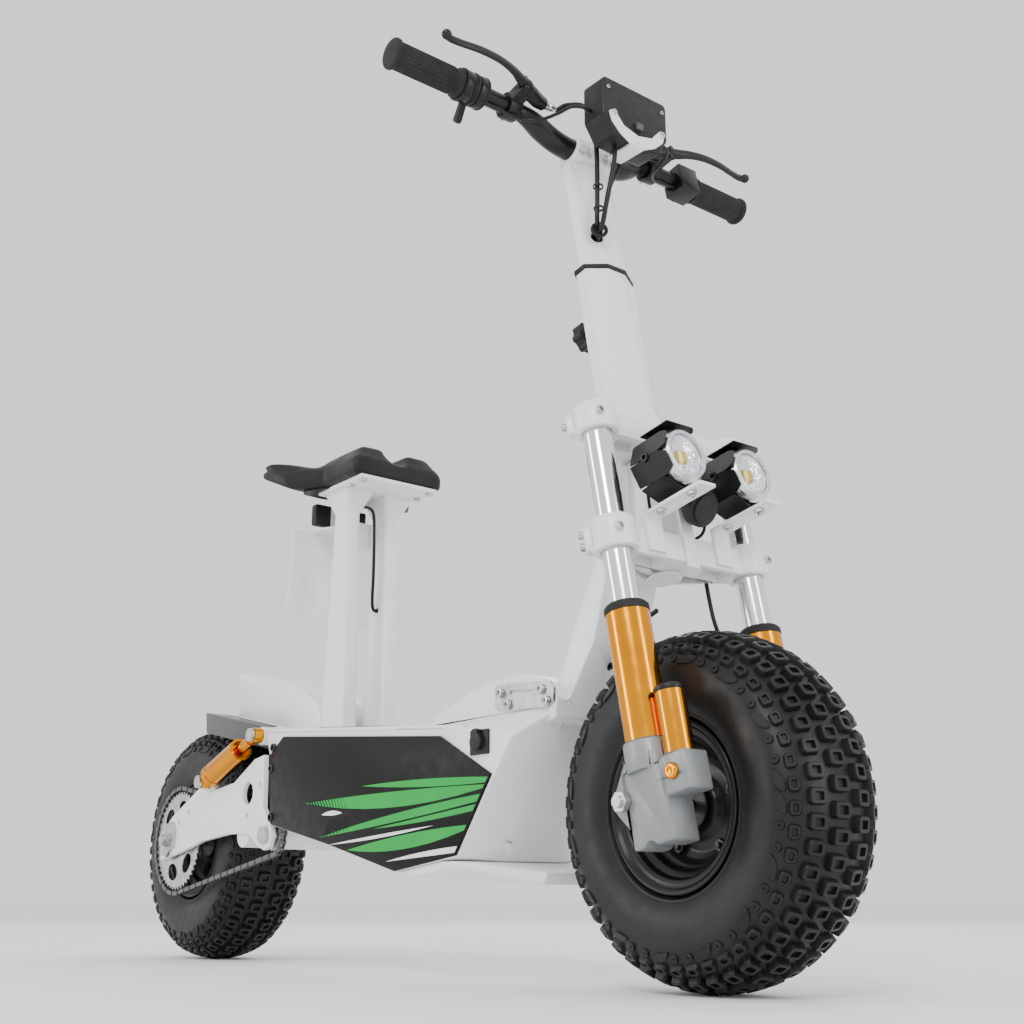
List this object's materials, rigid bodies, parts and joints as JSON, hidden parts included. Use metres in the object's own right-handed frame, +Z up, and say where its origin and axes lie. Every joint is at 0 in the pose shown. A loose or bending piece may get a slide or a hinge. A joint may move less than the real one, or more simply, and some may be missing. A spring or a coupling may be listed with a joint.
{
  "type": "electric kick scooter",
  "caption": "Seated off-road electric kick scooter with balloon tyres, double-crown fork, telescopic steering column, gold rear shocks and a saddle on a post frame.",
  "frame": {"origin": "on the ground, midway between the two axles, in the middle plane", "axes": "+X forward to the front wheel, +Y to the rider's left, +Z up"},
  "size_m": [1.432, 0.598, 1.0619],
  "materials": {
    "white_paint": "satin powder coat",
    "black_paint": "gloss black",
    "dark_paint": "satin dark grey",
    "black_plastic": "matte black",
    "gold": "gold anodised",
    "polished": "hard chrome",
    "steel": "zinc plated",
    "cast": "cast, painted grey",
    "tyre_rubber": "matte",
    "grip_rubber": "ribbed",
    "seat_cover": "black vinyl over foam",
    "cable_sheath": "smooth black",
    "lens": "clear",
    "bright_trim": "bright turned",
    "pack_wrap": "shrink wrap",
    "motor_case": "plain",
    "chain_steel": "oiled",
    "red_button": "gloss",
    "yellow_button": "gloss"
  },
  "bodies": {
    "frame": {"deck_box": "white_paint", "deck_lid": "white_paint", "side_panels": "black_paint", "belly_cover": "white_paint", "neck": "white_paint", "frame_hardware": "steel", "charge_port": "black_plastic", "battery": "pack_wrap", "motor": "motor_case", "rear_block": "white_paint", "pivot_axle": "steel", "mudguard": "dark_paint", "tail_fairing": "white_paint", "seat_posts": "white_paint", "seat_pad": "seat_cover", "tail_lamp": "black_plastic", "plate_holder": "white_paint", "frame_cables": "cable_sheath"},
    "charge_flap": {"charge_cap": "black_plastic"},
    "kickstand_leg": {"kickstand": "black_paint"},
    "steering": {"fork_crowns": "white_paint", "steerer": "steel", "stanchions": "polished", "lower_column": "white_paint", "column_collar": "black_plastic", "lamp_brackets": "white_paint", "lamp_bodies": "black_paint", "lamp_bezels": "bright_trim", "lamp_lenses": "lens", "horn": "black_plastic", "crown_bolts": "steel"},
    "column_knob": {"clamp_knob": "black_plastic"},
    "bar": {"upper_column": "white_paint", "handlebar": "black_paint", "grips": "grip_rubber", "display": "black_plastic", "lever_mounts": "black_paint", "bar_cables": "cable_sheath"},
    "right_lever": {"lever_right": "black_paint"},
    "left_lever": {"lever_left": "black_paint"},
    "throttle": {"thumb_throttle": "black_plastic"},
    "horn_switch": {"horn_button": "red_button"},
    "light_switch": {"light_button": "yellow_button"},
    "fork_lowers": {"fork_sliders": "gold", "fork_castings": "cast", "front_axle": "steel", "front_caliper": "black_paint", "fork_cable": "cable_sheath"},
    "front_wheel": {"front_tyre": "tyre_rubber", "front_rim": "black_paint"},
    "swing_arm": {"swing_arms": "white_paint", "rear_axle": "steel", "rear_caliper": "black_paint", "chain": "chain_steel"},
    "rear_wheel": {"rear_tyre": "tyre_rubber", "rear_rim": "black_paint", "rear_sprocket": "steel"},
    "drive_gear": {"drive_sprocket": "steel"},
    "shock_body": {"shock_bodies": "gold"},
    "shock_rod": {"shock_rods": "gold"}
  },
  "joints": [
    {"name": "steering_turn", "type": "hinge", "parent": "frame", "child": "steering", "pos_m": [0.475, 0, 0.458], "axis": [-0.1908, 0, 0.9816], "range_deg": [-40, 40]},
    {"name": "column_height", "type": "slide", "parent": "steering", "child": "bar", "axis": [-0.1908, 0, 0.9816], "range_m": [-0.03, 0.08]},
    {"name": "knob_turn", "type": "hinge", "parent": "steering", "child": "column_knob", "pos_m": [0.37525, 0, 0.76154], "axis": [-0.9816, 0, -0.1908], "range_deg": [-170, 170]},
    {"name": "right_lever_pull", "type": "hinge", "parent": "bar", "child": "right_lever", "pos_m": [0.39643, -0.126, 1.0509], "axis": [-0.1908, 0, 0.9816], "range_deg": [-10, 0], "stiffness_Nm_per_rad": 3, "springref_deg": 8.59},
    {"name": "left_lever_pull", "type": "hinge", "parent": "bar", "child": "left_lever", "pos_m": [0.39643, 0.126, 1.0509], "axis": [-0.1908, 0, 0.9816], "range_deg": [0, 10], "stiffness_Nm_per_rad": 3, "springref_deg": -8.59},
    {"name": "throttle_push", "type": "hinge", "parent": "bar", "child": "throttle", "pos_m": [0.35792, -0.18, 1.03934], "axis": [0, 1, 0], "range_deg": [-35, 0], "stiffness_Nm_per_rad": 0.1, "springref_deg": 17.19},
    {"name": "horn_press", "type": "slide", "parent": "bar", "child": "horn_switch", "axis": [0.9816, 0, 0.1908], "range_m": [0, 0.0015], "stiffness_N_per_m": 300, "springref_m": -0.001},
    {"name": "light_press", "type": "slide", "parent": "bar", "child": "light_switch", "axis": [0.9816, 0, 0.1908], "range_m": [0, 0.0015], "stiffness_N_per_m": 300, "springref_m": -0.001},
    {"name": "fork_travel", "type": "slide", "parent": "steering", "child": "fork_lowers", "axis": [-0.1908, 0, 0.9816], "range_m": [0, 0.025], "stiffness_N_per_m": 8000, "springref_m": -0.03},
    {"name": "front_wheel_spin", "type": "hinge", "parent": "fork_lowers", "child": "front_wheel", "pos_m": [0.536, 0, 0.18], "axis": [0, 1, 0], "continuous": true},
    {"name": "swing_arm_travel", "type": "hinge", "parent": "frame", "child": "swing_arm", "pos_m": [-0.226, 0, 0.177], "axis": [0, 1, 0], "range_deg": [0, 3.7], "stiffness_Nm_per_rad": 2500, "springref_deg": -3.44},
    {"name": "rear_wheel_spin", "type": "hinge", "parent": "swing_arm", "child": "rear_wheel", "pos_m": [-0.536, 0, 0.18], "axis": [0, 1, 0], "continuous": true},
    {"name": "drive_gear_spin", "type": "hinge", "parent": "swing_arm", "child": "drive_gear", "pos_m": [-0.226, 0, 0.177], "axis": [0, 1, 0], "continuous": true},
    {"name": "shock_tilt", "type": "hinge", "parent": "swing_arm", "child": "shock_body", "pos_m": [-0.411, 0, 0.262], "axis": [0, 1, 0], "range_deg": [-0.45, 0]},
    {"name": "shock_stroke", "type": "slide", "parent": "shock_body", "child": "shock_rod", "axis": [0.9432, 0, 0.3322], "range_m": [-0.0095, 0]},
    {"name": "charge_cap_flap", "type": "hinge", "parent": "frame", "child": "charge_flap", "pos_m": [0.276, -0.10472, 0.2755], "axis": [1, 0, 0], "range_deg": [-110, 0]},
    {"name": "kickstand_fold", "type": "hinge", "parent": "frame", "child": "kickstand_leg", "pos_m": [0.06, 0.111, 0.15], "axis": [0, 1, 0], "range_deg": [-78, 0]}
  ],
  "couplings": [
    {"joint": "shock_tilt", "follows": "swing_arm_travel", "ratio": -0.115},
    {"joint": "shock_stroke", "follows": "swing_arm_travel", "m_per_rad": -0.14206},
    {"joint": "drive_gear_spin", "follows": "rear_wheel_spin", "ratio": 3.4286}
  ]
}
